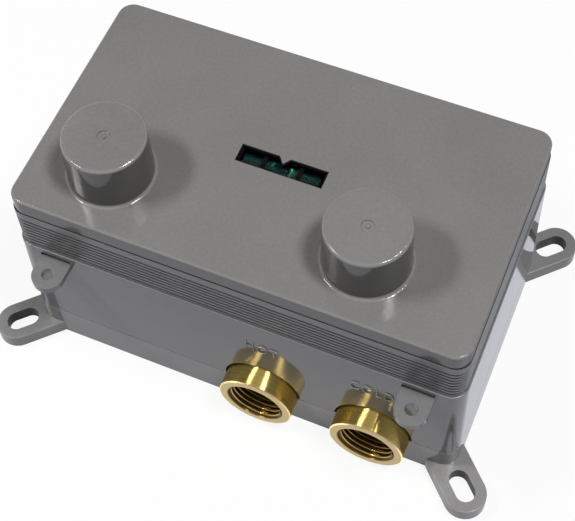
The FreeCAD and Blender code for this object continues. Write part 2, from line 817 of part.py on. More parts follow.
def make_sleeve():
    """Ported sleeve of the temperature cartridge, with a spring seat at its foot."""
    x = right_cap_x
    y = cap_y
    floor = chamber_floor_z
    sleeve = ring_of(cartridge_r, sleeve_bore_r, x, y, floor, cartridge_top_z)
    foot = ring_of(cartridge_r, sleeve_flange_r, x, y, floor, floor + sleeve_flange)
    sleeve = join([sleeve, foot])
    cuts = []
    for band_z in (cold_band_z, hot_band_z):
        cuts.append(ring_of(cartridge_r + overrun, sleeve_waist_r, x, y, band_z, band_z + band_height))
        slot_z = band_z + band_inset
        cuts += wall_slots(x, y, sleeve_bore_r, cartridge_r, slot_z, slot_z + band_slot)
    mix_z = floor + sleeve_flange + mix_slot_foot
    cuts += wall_slots(x, y, sleeve_bore_r, cartridge_r, mix_z, mix_z + mix_slot_height)
    cuts += [o_ring_groove(z) for z in o_ring_levels()]
    return sleeve.cut(cuts)


def o_ring_levels():
    lands = [cold_band_z, hot_band_z, cartridge_top_z]
    return [lands[0] - 2 * o_ring_r, (lands[0] + band_height + lands[1]) / 2, lands[2] - 2 * o_ring_r]


def o_ring_groove(z):
    depth_r = chamber_bore_r - o_ring_squeeze - 2 * o_ring_r
    return ring_of(cartridge_r + overrun, depth_r, right_cap_x, cap_y, z - o_ring_r, z + o_ring_r)


def make_sleeve_o_rings():
    ring_r = chamber_bore_r - o_ring_squeeze - o_ring_r
    rings = [o_ring(ring_r, o_ring_r, right_cap_x, cap_y, z) for z in o_ring_levels()]
    return Part.makeCompound(rings)


def make_spool():
    """Sliding ring that opens one band as it shuts the other."""
    x = right_cap_x
    y = cap_y
    outer_r = sleeve_bore_r - spool_fit
    spool = ring_of(outer_r, outer_r - spool_wall, x, y, spool_bottom_z, spool_top_z)
    web = ring_of(outer_r, element_r + spool_fit, x, y, web_bottom_z, web_top_z)
    pitch = (element_collar_r + outer_r - spool_wall) / 2
    holes = []
    for k in range(spool_holes):
        angle = 2 * math.pi * k / spool_holes
        holes.append(rod_z(spool_hole_r, x + pitch * math.cos(angle), y + pitch * math.sin(angle),
                           web_bottom_z, web_top_z))
    return join([spool, web]).cut(holes)


def make_wax_element():
    bottom = web_bottom_z - element_tail
    collar_top = web_top_z + element_collar
    nose_top = collar_top + element_nose
    steps = [(element_r, bottom), (element_r, web_top_z), (element_collar_r, web_top_z),
             (element_collar_r, collar_top), (element_nose_r, collar_top), (element_nose_r, nose_top),
             (piston_r, nose_top), (piston_r, nut_bottom_z), (0, nut_bottom_z)]
    return turned((0, bottom), steps, at(right_cap_x, cap_y, 0), Z_AXIS)


def make_return_spring():
    seat = chamber_floor_z + sleeve_flange
    length = web_bottom_z - seat
    return coil(spring_r, spring_wire_r, length, spring_turns, at(right_cap_x, cap_y, seat), Z_AXIS)


def make_adjuster_nut():
    top = nut_bottom_z + nut_height
    nut = hexagon(nut_flats, right_cap_x, cap_y, nut_bottom_z, top)
    return nut.cut(rod_z(nut_bore_r, right_cap_x, cap_y, nut_bottom_z + nut_floor, top))


def spline_end(x, y):
    """Toothed end that a handle's hub pushes on to."""
    points = []
    for k in range(2 * spline_teeth):
        r = spline_r if k % 2 == 0 else spline_root_r
        angle = math.pi * k / spline_teeth
        points.append(at(x + r * math.cos(angle), y + r * math.sin(angle), neck_top_z))
    return prism(points, spline_length)


def make_spindle(x, tail_steps, tail_bottom):
    """Turned spindle: flange under the bonnet, grooved journal and toothed end."""
    groove_low = ring_z - ring_groove / 2
    groove_high = ring_z + ring_groove / 2
    steps = tail_steps + [(spindle_flange_r, flange_bottom_z), (spindle_flange_r, flange_top_z),
                          (spindle_r, flange_top_z), (spindle_r, groove_low), (ring_groove_r, groove_low),
                          (ring_groove_r, groove_high), (spindle_r, groove_high), (spindle_r, neck_top_z),
                          (0, neck_top_z)]
    stem = turned((0, tail_bottom), steps, at(x, cap_y, 0), Z_AXIS)
    return stem.fuse(spline_end(x, cap_y))


def make_regulator_spindle():
    tail_r = nut_bore_r - tail_fit
    tail_bottom = nut_bottom_z + nut_floor + nut_lift
    return make_spindle(right_cap_x, [(tail_r, tail_bottom), (tail_r, flange_bottom_z)], tail_bottom)


def make_diverter_spindle():
    driver_z = chamber_floor_z + gasket_height + 2 * disc_height + disc_clearance
    driver_top = driver_z + driver_height
    steps = [(driver_r, driver_z), (driver_r, driver_top),
             (spindle_r, driver_top), (spindle_r, flange_bottom_z)]
    return make_spindle(left_cap_x, steps, driver_z)


def make_bonnet(x, keyed):
    """Screwed bonnet that holds a cartridge down and carries its spindle."""
    shoulder = flange_top_z + spindle_flange_gap
    bore_r = spindle_r + spindle_fit
    thread = rod_z(chamber_bore_r - bonnet_thread_fit, x, cap_y, cartridge_top_z, chamber_top_z)
    flats = hexagon(bonnet_hex, x, cap_y, chamber_top_z, chamber_top_z + bonnet_hex_height)
    neck = rod_z(bonnet_neck_r, x, cap_y, chamber_top_z, neck_top_z)
    bonnet = join([thread, flats, neck])
    cuts = [rod_z(bore_r, x, cap_y, shoulder, neck_top_z)]
    if keyed:
        room_z = flange_bottom_z - spindle_flange_gap
        cuts.append(hexagon(nut_flats + 2 * nut_fit, x, cap_y, cartridge_top_z, room_z))
        cuts.append(rod_z(bonnet_room_r, x, cap_y, room_z, shoulder))
    else:
        cuts.append(rod_z(bonnet_room_r, x, cap_y, cartridge_top_z, shoulder))
    return bonnet.cut(cuts)


def make_spindle_seal(x):
    ring_r = (ring_groove_r + spindle_r + spindle_fit - ring_fit) / 2
    wire_r = ring_r - ring_groove_r
    return o_ring(ring_r, wire_r, x, cap_y, ring_z)


def make_diverter_housing():
    """Slotted tube that guides the discs and lets mixed water in above them."""
    x = left_cap_x
    bore_r = cartridge_r - selector_wall
    tube = ring_of(cartridge_r, bore_r, x, cap_y, chamber_floor_z, cartridge_top_z)
    slot_z = duct_z - selector_slot_height / 2
    return tube.cut(wall_slots(x, cap_y, bore_r, cartridge_r, slot_z, slot_z + selector_slot_height))


def selector_disc(z0, z1, angles):
    disc = rod_z(disc_r, left_cap_x, cap_y, z0, z1)
    holes = []
    for angle in angles:
        a = math.radians(angle)
        x = left_cap_x + outlet_port_pitch * math.cos(a)
        y = cap_y + outlet_port_pitch * math.sin(a)
        holes.append(rod_z(outlet_port_r, x, y, z0, z1))
    return disc.cut(holes)


def make_body_screws():
    screws = []
    head_z = ear_z + ear_thickness
    for x, y in ears:
        shank = rod_z(screw_r, x, y, tray_floor, head_z)
        screws.append(shank.fuse(rod_z(screw_head_r, x, y, head_z, head_z + screw_head)))
    return Part.makeCompound(screws)


def make_frame_screws():
    screws = []
    for x, y in pillars:
        shank = rod_z(case_screw_r, x, y, case_screw_recess, socket_axis_z + case_screw_bite)
        head = rod_z(case_screw_head_r, x, y, case_screw_recess - case_screw_head, case_screw_recess)
        screws.append(shank.fuse(head))
    return Part.makeCompound(screws)


def pieces():
    gasket_z = chamber_floor_z
    fixed_z = gasket_z + gasket_height
    turning_z = fixed_z + disc_height + disc_clearance
    yield "rear_tray", make_rear_tray()
    yield "case_frame", make_case_frame()
    yield "cover", make_cover()
    yield "vial_holder", make_vial_holder()
    yield "level_vial", make_level_vial()
    yield "vial_liquid", make_vial_liquid()
    yield "valve_body", make_valve_body()
    for name in ("hot", "cold"):
        yield name + "_inlet_socket", make_socket(name)
        yield name + "_inlet_seal", make_seal(name)
        yield name + "_filter", make_filter(name)
        yield name + "_check_housing", make_check_housing(name)
        yield name + "_check_poppet", make_check_poppet(name)
        yield name + "_check_spring", make_check_spring(name)
    for name in ("left", "right"):
        yield "outlet_socket_" + name, make_socket(name)
        yield "outlet_seal_" + name, make_seal(name)
    yield "regulator_sleeve", make_sleeve()
    yield "sleeve_o_rings", make_sleeve_o_rings()
    yield "regulator_spool", make_spool()
    yield "wax_element", make_wax_element()
    yield "return_spring", make_return_spring()
    yield "adjuster_nut", make_adjuster_nut()
    yield "regulator_spindle", make_regulator_spindle()
    yield "regulator_spindle_seal", make_spindle_seal(right_cap_x)
    yield "regulator_bonnet", make_bonnet(right_cap_x, True)
    yield "diverter_housing", make_diverter_housing()
    yield "diverter_gasket", selector_disc(gasket_z, fixed_z, outlet_port_angles)
    yield "fixed_disc", selector_disc(fixed_z, fixed_z + disc_height, outlet_port_angles)
    yield "turning_disc", selector_disc(turning_z, turning_z + disc_height, [selector_hole_angle])
    yield "diverter_spindle", make_diverter_spindle()
    yield "diverter_spindle_seal", make_spindle_seal(left_cap_x)
    yield "diverter_bonnet", make_bonnet(left_cap_x, False)
    yield "body_screws", make_body_screws()
    yield "frame_screws", make_frame_screws()


os.makedirs("parts", exist_ok=True)
for node, shape in pieces():
    shape.exportStep("parts/" + node + ".step")
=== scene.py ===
"""Looks of a concealed shower valve in its case: finishes, pipe threads, lettering, screws, light and camera.

Metres, in the frame of the model: +X along the inlet edge, +Y towards the outlet edge, +Z out of the wall.
"""
import math

import bpy
from mathutils import Euler, Matrix, Vector


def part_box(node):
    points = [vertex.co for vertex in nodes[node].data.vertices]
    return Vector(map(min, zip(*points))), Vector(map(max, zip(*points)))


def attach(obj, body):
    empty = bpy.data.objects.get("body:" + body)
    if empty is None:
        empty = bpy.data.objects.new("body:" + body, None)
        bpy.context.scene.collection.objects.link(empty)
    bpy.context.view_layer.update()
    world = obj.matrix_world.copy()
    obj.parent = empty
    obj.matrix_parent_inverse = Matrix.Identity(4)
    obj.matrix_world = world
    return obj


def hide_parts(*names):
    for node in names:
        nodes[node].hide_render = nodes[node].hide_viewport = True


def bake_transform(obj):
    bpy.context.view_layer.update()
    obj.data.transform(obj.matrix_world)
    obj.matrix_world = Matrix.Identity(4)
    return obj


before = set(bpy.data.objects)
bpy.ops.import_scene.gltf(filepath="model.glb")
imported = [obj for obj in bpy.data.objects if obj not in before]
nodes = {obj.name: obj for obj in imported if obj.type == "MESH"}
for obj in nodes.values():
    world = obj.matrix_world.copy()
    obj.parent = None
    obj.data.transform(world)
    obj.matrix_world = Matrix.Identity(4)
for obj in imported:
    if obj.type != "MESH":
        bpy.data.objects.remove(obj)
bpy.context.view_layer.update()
scene = bpy.context.scene

MM = 0.001
Y_AXIS = 1
Z_AXIS = 2
MERGE_DISTANCE = 0.002 * MM

# Pipe threads in the sockets; a ridge's base and rounding are shares of the pitch, its crest of the base
THREAD_ROOT = 10.30 * MM
THREAD_CREST = 9.35 * MM
THREAD_PITCH = 1.814 * MM
THREAD_TURNS = 7
THREAD_START = 0.9 * MM
THREAD_STEPS = 80
RIDGE_BASE = 0.96
RIDGE_CREST = 0.22
RIDGE_ROUNDING = 0.06

# Words moulded over the inlets: the text, its middle along the wall and its middle over the back; a ray
# from outside finds the wall
WORDS = [("HOT", 10.6 * MM, 44.2 * MM), ("COLD", 50.4 * MM, 43.6 * MM)]
LETTER_SIZE = 7.4 * MM
LETTER_RISE = 0.4 * MM
LETTER_NARROWING = 0.72
LETTER_SPACING = 1.15
LETTER_THINNING = 0.22 * MM
LETTER_ROUNDING = 0.1 * MM
LETTER_SEAT = 0.4 * LETTER_RISE
RAY_START = -0.2

# Rings printed on the vial
RING_SIDES = 72
RING_PLACE = 6.4 * MM
RING_WIDTH = 1.6 * MM
RING_LIFT = 0.02 * MM
RING_FILM = 0.05 * MM
RING_EDGE = 0.015 * MM

# Screws: core and pitch are shares of the shank's radius; point, threaded part and thread foot of its
# length; ridge sink and tip taper of the core
BODY_SCREW_HEAD = 3.0 * MM
BODY_SCREW_R = 1.9 * MM
FRAME_SCREW_HEAD = 2.6 * MM
FRAME_SCREW_R = 1.5 * MM
SCREW_SIDES = 48
SCREW_STEPS = 24
SCREW_CORE = 0.74
SCREW_PITCH = 0.75
SCREW_POINT = 0.14
SCREW_THREADED = 0.74
SCREW_THREAD_FOOT = 0.84
RIDGE_SINK = 0.97
TIP_TAPER = 0.25
SCREWS_APART = 0.02
SEAT_HEIGHT = 0.01 * MM

# Screw heads: rounding and recess depth are shares of the height, recess length and width of the radius;
# turns in degrees
HEAD_ROUNDING = 0.42
HEAD_PROFILE = 0.6
HEAD_TURN = 23
HEAD_TURN_STEP = 37
RECESS_LENGTH = 1.15
RECESS_WIDTH = 0.26
RECESS_DEPTH = 1.3
RECESS_TAPER = (0.45, 0.7, 1)

# Springs
WIRE_SIDES = 14
RETURN_WIRE_R = 0.6 * MM
RETURN_TURNS = 5.5
CHECK_WIRE_R = 0.35 * MM
CHECK_TURNS = 3
COIL_STEPS = 48

# Places on the model's own pieces that are grained or painted with shade, a flat dark colour that stands in
# for shade in slots and under edges; a face is upright or level by how far its normal points up or down
COLLAR = (59 * MM, 79 * MM)
COVER_WALL = (70 * MM, 85 * MM)
END_GRAIN = 0.4
LUG_R = 7.4 * MM
SLOT_R = 3.5 * MM
SLOT_MARGIN = 0.2 * MM
SLOT_TRAVEL = 4.9 * MM
CORNER_R = 5.5 * MM
COVER_FOOT = 78.25 * MM
LEDGE = 58.9 * MM
UPRIGHT = 0.5
LEVEL = 0.8
SHADE_LINE_WIDTH = 0.55 * MM
PAINTED_SHADE_SHARE = 0.85
SLOT_SHADE_SHARE = 0.75
LEDGE_SHADE_SHARE = 0.8
PAINTED_SHADE_COLOUR = (0.022, 0.022, 0.026)

# Brass of the sockets; tool marks turn the stretched highlights by a share of a whole turn, and a face is
# an end face by how far its normal points along Y; end faces are painted paler, a painted reflection of the
# white floor
BRASS = (0.88, 0.68, 0.22)
BRASS_FACE_REFLECTION = (0.84, 0.67, 0.40)
TOOL_TURN = 0.25
END_FACE = 0.7

# Brightness of the surroundings by height: in mirrored light and in soft fill
CEILING = [(0.0, (0.62, 0.63, 0.66)), (0.3, (0.36, 0.36, 0.38)),
           (0.8, (0.26, 0.26, 0.27)), (0.95, (1.1, 1.1, 1.1))]
FILL = [(0.0, (0.035, 0.037, 0.045)), (0.5, (0.10, 0.104, 0.116)), (1.0, (0.14, 0.142, 0.148))]

# Floor: its share of plain white, and how much less of it a mirror image shows
FLOOR_SIZE = 6
FLOOR_DROP = 0.3 * MM
FLOOR_WHITE = 0.9
FLOOR_MIRROR_LOSS = 0.3

# Middle of the cover, which the lamps face
LAMP_AIM = Vector((0, 0, 0.08))

# Camera of the photograph: where it stands, which way its right and its back point, its lens and crop
CAMERA_PLACE = (0.115586, -0.239939, 0.48932)
CAMERA_RIGHT = (0.91680, 0.39654, -0.04718)
CAMERA_BACK = (0.25575, -0.49231, 0.83200)
CAMERA_SENSOR = 36.0
CAMERA_LENS = 91.674
CAMERA_SHIFT = (0.05356, -0.1745)
CAMERA_CLIP = (0.01, 20.0)


class Signal:
    """One value in a shader, which takes part in arithmetic."""

    def __init__(self, paint, socket):
        self.paint = paint
        self.socket = socket

    def maths(self, operation, *operands):
        inputs = dict(enumerate(operands))
        return self.paint.node("ShaderNodeMath", {"operation": operation}, inputs)

    def __add__(self, other):
        return self.maths("ADD", self, other)

    def __radd__(self, other):
        return self.maths("ADD", other, self)

    def __sub__(self, other):
        return self.maths("SUBTRACT", self, other)

    def __rsub__(self, other):
        return self.maths("SUBTRACT", other, self)

    def __mul__(self, other):
        return self.maths("MULTIPLY", self, other)

    def __rmul__(self, other):
        return self.maths("MULTIPLY", other, self)

    def __pow__(self, other):
        return self.maths("POWER", self, other)

    def __gt__(self, other):
        return self.maths("GREATER_THAN", self, other)

    def __lt__(self, other):
        return self.maths("LESS_THAN", self, other)

    def __abs__(self):
        return self.maths("ABSOLUTE", self)


class Paint:
    """The node tree of one finish."""

    def __init__(self, tree):
        self.tree = tree
        self.tree.nodes.clear()

    def node(self, kind, settings=None, inputs=None, output=0):
        made = self.tree.nodes.new(kind)
        for setting, value in (settings or {}).items():
            if setting == "stops":
                self.set_stops(made.color_ramp, value)
            else:
                setattr(made, setting, value)
        for socket, value in (inputs or {}).items():
            if isinstance(value, Signal):
                self.tree.links.new(value.socket, made.inputs[socket])
            else:
                made.inputs[socket].default_value = value
        return Signal(self, made.outputs[output] if made.outputs else None)

    @staticmethod
    def set_stops(ramp, stops):
        while len(ramp.elements) < len(stops):
            ramp.elements.new(1.0)
        for element, (place, colour) in zip(ramp.elements, stops):
            element.position = place
            element.color = (*colour, 1.0)

    def place(self):
        return self.node("ShaderNodeTexCoord", output="Object")

    def split(self, vector):
        return [self.node("ShaderNodeSeparateXYZ", inputs={0: vector}, output=axis) for axis in range(3)]

    def stretched(self, vector, scale):
        return self.node("ShaderNodeMapping", inputs={"Vector": vector, "Scale": scale})

    def noise(self, vector, scale, detail=2.0, roughness=0.5):
        inputs = {"Vector": vector, "Scale": scale, "Detail": detail, "Roughness": roughness}
        return self.node("ShaderNodeTexNoise", inputs=inputs)

    def line_noise(self, along, scale, detail=2.0):
        settings = {"noise_dimensions": "1D"}
        return self.node("ShaderNodeTexNoise", settings, {"W": along, "Scale": scale, "Detail": detail})

    def band(self, value, low, high):
        """Runs from 0 to 1 as the value goes from low to high."""
        inputs = {"Value": value, "From Min": low, "From Max": high}
        return self.node("ShaderNodeMapRange", {"clamp": True}, inputs)

    def blend(self, share, first, second):
        inputs = {0: share, 6: shade(first), 7: shade(second)}
        return self.node("ShaderNodeMix", {"data_type": "RGBA"}, inputs, output=2)

    def bump(self, height, strength, depth, under=None):
        inputs = {"Height": height, "Strength": strength, "Distance": depth}
        if under is not None:
            inputs["Normal"] = under
        return self.node("ShaderNodeBump", inputs=inputs)

    def ray_kinds(self):
        """Whether a surface is seen by the camera, in a mirror image or through something clear."""
        kinds = ("Is Camera Ray", "Is Glossy Ray", "Is Transmission Ray")
        return [self.node("ShaderNodeLightPath", output=kind) for kind in kinds]

    def principled(self, sockets):
        inputs = {socket.replace("_", " "): value for socket, value in sockets.items()}
        return self.node("ShaderNodeBsdfPrincipled", inputs=inputs)

    def surface(self, **sockets):
        self.node("ShaderNodeOutputMaterial", inputs={"Surface": self.principled(sockets)})

    def shaded_surface(self, shade_amount, **sockets):
        """A surface with its share of flat dark colour over it: painted shade."""
        clean = self.principled(sockets)
        dull = self.node("ShaderNodeBsdfDiffuse", inputs={"Color": shade(PAINTED_SHADE_COLOUR)})
        mixed = self.node("ShaderNodeMixShader", inputs={0: shade_amount, 1: clean, 2: dull})
        self.node("ShaderNodeOutputMaterial", inputs={"Surface": mixed})


def shade(colour):
    return colour if isinstance(colour, Signal) else (*colour, 1.0)


def scaled(colour, share):
    return tuple(share * part for part in colour)


def tinted(colour, shares):
    return tuple(part * share for part, share in zip(colour, shares))


def new_paint(name):
    material = bpy.data.materials.new(name)
    material.use_nodes = True
    return material, Paint(material.node_tree)


def dress(material, *names):
    for name in names:
        slots = nodes[name].data.materials
        slots.clear()
        slots.append(material)


# Finishes of the plastic parts

def moulded_case(name, colour, side_shade, sheen, dulled, index, grained=None, side_grain=0.0, painted_shade=None):
    """Moulded plastic with glossy sides and duller level faces; rounded edges are painted pale as painted
    highlights, and upright sides are painted darker as painted shade.

    Its upright faces are grained between the two heights in grained, the end faces most.
    The last argument picks the places painted with shade, a flat dark colour that stands in for shade.
    """
    material, paint = new_paint(name)
    place = paint.place()
    normal = paint.split(paint.node("ShaderNodeNewGeometry", output="Normal"))
    lean = abs(normal[2])
    level = paint.band(lean, 0.75, 0.98)
    edges = paint.band(lean, 0.12, 0.4) * paint.band(lean, 0.98, 0.85)
    clouds = paint.noise(place, 22.0, 3.0)
    flow = paint.noise(paint.stretched(place, (30.0, 30.0, 4.0)), 1.0, 4.0)
    mottle = paint.noise(place, 900.0, 4.0)
    rubbed = paint.band(paint.noise(paint.stretched(place, (160.0, 900.0, 900.0)), 1.0, 2.0), 0.62, 0.78)
    specks = paint.band(paint.noise(place, 2400.0, 1.0), 0.74, 0.8)
    tone = 0.30 * clouds + 0.30 * flow + 0.40 * mottle
    top = paint.blend(tone, scaled(colour, 0.66), scaled(colour, 1.34))
    # painted shade: upright sides are a darker copy of the colour
    side = paint.blend(tone, scaled(colour, 0.82 * side_shade), scaled(colour, 1.18 * side_shade))
    body = paint.blend(paint.band(lean, 0.3, 0.1), top, side)
    body = paint.blend(0.12 * specks, body, scaled(colour, 1.6))
    # painted highlight: rounded edges lighter
    body = paint.blend(edges, body, scaled(colour, 1.38))
    rough = sheen + dulled * level + 0.04 * clouds + 0.03 * rubbed
    if grained:
        low, high = grained
        height = paint.split(place)[2]
        depth = side_grain + (END_GRAIN - side_grain) * paint.band(abs(normal[0]), 0.6, 0.95)
        rough = rough + depth * (lean < UPRIGHT) * (height > low) * (height < high)
    ripple = paint.bump(paint.noise(place, 260.0, 2.0), 0.06, 0.03 * MM)
    grain = paint.bump(paint.noise(place, 5200.0, 2.0), 0.05, 0.01 * MM, ripple)
    if painted_shade:
        # painted shade: a share of flat dark colour over the places picked
        shade_amount = PAINTED_SHADE_SHARE * painted_shade(paint, place, lean)
        paint.shaded_surface(shade_amount, Base_Color=body, Roughness=rough, Normal=grain, IOR=index)
    else:
        paint.surface(Base_Color=body, Roughness=rough, Normal=grain, IOR=index)
    return material


def slot_shade(paint, place, lean):
    """Painted shade on the walls of the four lug slots."""
    x, y = paint.split(place)[:2]
    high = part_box("rear_tray")[1]
    across = abs(x) - (high.x - LUG_R)
    along = abs(y) - (high.y - LUG_R)
    outward = (across + along) * math.sqrt(0.5)
    sideways = abs((across - along) * math.sqrt(0.5))
    reach = SLOT_R + SLOT_MARGIN
    # painted shade: the slot walls are darkened
    walls = SLOT_SHADE_SHARE * (lean < UPRIGHT)
    return walls * (sideways < reach) * (outward < reach) * (outward > -SLOT_TRAVEL - reach)


def foot_shade(paint, place, lean):
    """Painted shade on the cover, in the line under its edge."""
    height = paint.split(place)[2]
    # painted shade: a thin dark line under the cover's edge
    return (lean < UPRIGHT) * (height > COVER_FOOT) * (height < COVER_FOOT + SHADE_LINE_WIDTH)


def rim_shade(paint, place, lean):
    """Painted shade on the collar, in the line under the cover's edge and over the ledge at both ends."""
    x, y, z = paint.split(place)
    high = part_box("cover")[1]
    across = abs(x) - (high.x - CORNER_R)
    along = abs(y) - (high.y - CORNER_R)
    across = across.maths("MAXIMUM", across, 0.0)
    along = along.maths("MAXIMUM", along, 0.0)
    outer = (across ** 2 + along ** 2) ** 0.5 > CORNER_R - 2 * SHADE_LINE_WIDTH
    # painted shade: dark lines where the cover's edge and the ledge throw shade
    under_cover = outer * (lean > LEVEL) * (z > COVER_FOOT - SHADE_LINE_WIDTH)
    over_ledge = (abs(x) > high.x) * (lean < UPRIGHT) * (z > LEDGE) * (z < LEDGE + 2 * SHADE_LINE_WIDTH)
    return under_cover + LEDGE_SHADE_SHARE * over_ledge


def black_holder():
    """Dull black moulding with a fine spark-eroded grain."""
    material, paint = new_paint("black_holder")
    place = paint.place()
    grain = paint.noise(place, 3800.0, 3.0)
    body = paint.blend(grain, (0.004, 0.004, 0.005), (0.014, 0.014, 0.016))
    paint.surface(Base_Color=body, Roughness=0.5 + 0.2 * grain, Normal=paint.bump(grain, 0.25, 0.02 * MM),
                  Specular_IOR_Level=0.0)
    return material


def white_acetal():
    """Off-white slippery plastic of the cartridges' inner parts."""
    material, paint = new_paint("white_acetal")
    place = paint.place()
    clouds = paint.noise(place, 90.0, 3.0)
    grain = paint.noise(place, 2600.0, 2.0)
    body = paint.blend(clouds, (0.66, 0.65, 0.61), (0.74, 0.73, 0.70))
    paint.surface(Base_Color=body, Roughness=0.34 + 0.12 * grain, Normal=paint.bump(grain, 0.10, 0.02 * MM),
                  Subsurface_Weight=0.15, Subsurface_Scale=0.001)
    return material


def seal_rubber():
    """Black sealing rubber with a bloom of pale dust."""
    material, paint = new_paint("seal_rubber")
    place = paint.place()
    grain = paint.noise(place, 1900.0, 3.0)
    bloom = paint.band(paint.noise(place, 160.0, 4.0), 0.5, 0.8)
    body = paint.blend(0.5 * bloom, (0.008, 0.008, 0.008), (0.035, 0.035, 0.034))
    paint.surface(Base_Color=body, Roughness=0.62 + 0.2 * grain, Normal=paint.bump(grain, 0.3, 0.03 * MM))
    return material


# Finishes of the spirit level

def vial_wall():
    """Clear green-tinted acrylic, drawn with faint lengthwise lines."""
    material, paint = new_paint("vial_wall")
    place = paint.place()
    lines = paint.noise(paint.stretched(place, (60.0, 2200.0, 2200.0)), 1.0, 2.0)
    tint = paint.blend(lines, (0.70, 0.95, 0.86), (0.82, 0.99, 0.93))
    paint.surface(Base_Color=tint, Roughness=0.02 + 0.04 * lines, Normal=paint.bump(lines, 0.06, 0.02 * MM),
                  Transmission_Weight=1.0, IOR=1.12)
    return material


def vial_liquid():
    """Dark green-blue spirit, with painted glints of green and painted highlights of pale green round the
    ends of its bubble.
    """
    material, paint = new_paint("vial_spirit")
    place = paint.place()
    depth = paint.noise(paint.stretched(place, (90.0, 300.0, 300.0)), 1.0, 3.0)
    painted_glint = paint.band(depth, 0.58, 0.78)
    tint = paint.blend(depth, (0.0, 0.006, 0.008), (0.0, 0.030, 0.032))
    # painted glints: brighter green patches
    tint = paint.blend(0.7 * painted_glint, tint, (0.010, 0.14, 0.055))
    reach = abs(paint.split(place)[0])
    # painted highlight round the ends of the bubble
    bubble_end_highlight = paint.band(reach, 2.5 * MM, 3.0 * MM) * paint.band(reach, 3.9 * MM, 3.4 * MM)
    tint = paint.blend(bubble_end_highlight * paint.band(depth, 0.4, 0.7), tint, (0.06, 0.42, 0.20))
    paint.surface(Base_Color=tint, Roughness=0.02 + 0.03 * depth, Normal=paint.bump(depth, 0.1, 0.1 * MM),
                  Transmission_Weight=0.4, IOR=1.25)
    return material


def vial_mark():
    """Matt black printed ring."""
    material, paint = new_paint("vial_mark")
    grain = paint.noise(paint.place(), 4000.0, 2.0)
    body = paint.blend(grain, (0.003, 0.003, 0.003), (0.009, 0.009, 0.009))
    paint.surface(Base_Color=body, Roughness=0.7 + 0.2 * grain, Specular_IOR_Level=0.0)
    return material


# Finishes of the metal parts

def turned_brass(name, axis_x, axis_z, colour):
    """Turned brass with a little tarnish: fine tool rings round an axis along Y, on barrel and faces."""
    material, paint = new_paint(name)
    place = paint.place()
    x, y, z = paint.split(place)
    radius = ((x - axis_x) ** 2 + (z - axis_z) ** 2) ** 0.5
    normal = paint.node("ShaderNodeNewGeometry", output="Normal")
    facing = abs(paint.split(normal)[1]) > END_FACE
    track = facing * radius + (1 - facing) * y
    rings = paint.line_noise(track, 1700.0, 2.0)
    bands = paint.line_noise(track, 700.0, 2.0)
    tarnish = paint.band(paint.noise(place, 140.0, 4.0, 0.6), 0.45, 0.85)
    specks = paint.band(paint.noise(place, 1500.0, 2.0), 0.60, 0.72)
    # painted shade: the wall of the bore darker than the barrel
    inside = paint.band(radius, THREAD_ROOT + 0.4 * MM, THREAD_ROOT)
    deep = tinted(colour, (0.80, 0.70, 0.52))
    shaded_bore = tinted(colour, (0.34, 0.27, 0.20))
    body = paint.blend(0.4 * tarnish + 0.2 * bands, colour, deep)
    body = paint.blend(0.8 * paint.band(rings, 0.52, 0.66), body, deep)
    # painted reflection: end faces paler
    body = paint.blend(0.8 * facing, body, BRASS_FACE_REFLECTION)
    body = paint.blend(0.5 * specks, body, deep)
    body = paint.blend(inside, body, shaded_bore)
    rough = 0.29 + 0.06 * bands + 0.04 * tarnish + 0.12 * facing
    paint.surface(Base_Color=body, Metallic=1.0, Roughness=rough, Normal=paint.bump(rings, 0.3, 0.01 * MM),
                  Anisotropic=1.0, Anisotropic_Rotation=TOOL_TURN)
    return material


def cut_thread(name, axis_x, axis_z, mouth):
    """Brass of a cut thread round an axis along Y: crests painted bright near the mouth as painted light and
    dark deeper in as painted shade, and flanks dark brown as painted shade of the bore.
    """
    material, paint = new_paint(name)
    place = paint.place()
    x, y, z = paint.split(place)
    radius = ((x - axis_x) ** 2 + (z - axis_z) ** 2) ** 0.5
    film = paint.band(paint.noise(place, 260.0, 3.0), 0.35, 0.7)
    marks = paint.noise(place, 2600.0, 2.0)
    crest = paint.band(radius, THREAD_CREST + 0.35 * MM, THREAD_CREST + 0.1 * MM)
    # painted shade: dark flanks; crests painted bright near the mouth and dark deeper in, painted light and
    # shade
    body = paint.blend(film, (0.11, 0.065, 0.02), (0.05, 0.03, 0.01))
    deep = paint.band(abs(y), mouth - 1.5 * MM, mouth - 6 * MM)
    body = paint.blend(crest, body, paint.blend(deep, (0.72, 0.50, 0.17), (0.15, 0.09, 0.025)))
    paint.surface(Base_Color=body, Metallic=1.0, Roughness=0.18 + 0.1 * marks,
                  Normal=paint.bump(marks, 0.3, 0.03 * MM), Anisotropic=1.0, Anisotropic_Rotation=TOOL_TURN)
    return material


def cast_brass():
    """Sand-cast brass with a grainy skin and darker hollows."""
    material, paint = new_paint("cast_brass")
    place = paint.place()
    sand = paint.noise(place, 900.0, 4.0, 0.6)
    patches = paint.noise(place, 60.0, 3.0)
    body = paint.blend(patches, (0.46, 0.32, 0.12), (0.62, 0.45, 0.19))
    body = paint.blend(0.4 * paint.band(sand, 0.55, 0.75), body, (0.24, 0.16, 0.07))
    paint.surface(Base_Color=body, Metallic=1.0, Roughness=0.38 + 0.2 * sand,
                  Normal=paint.bump(sand, 0.5, 0.12 * MM))
    return material


def spindle_metal(name, colour, ring_scale):
    """Turned rod: fine rings across the Z axis."""
    material, paint = new_paint(name)
    place = paint.place()
    z = paint.split(place)[2]
    rings = paint.line_noise(z, ring_scale, 3.0)
    stain = paint.band(paint.noise(place, 200.0, 4.0), 0.5, 0.85)
    body = paint.blend(0.5 * stain, colour, scaled(colour, 0.6))
    paint.surface(Base_Color=body, Metallic=1.0, Roughness=0.2 + 0.15 * rings,
                  Normal=paint.bump(rings, 0.4, 0.03 * MM))
    return material


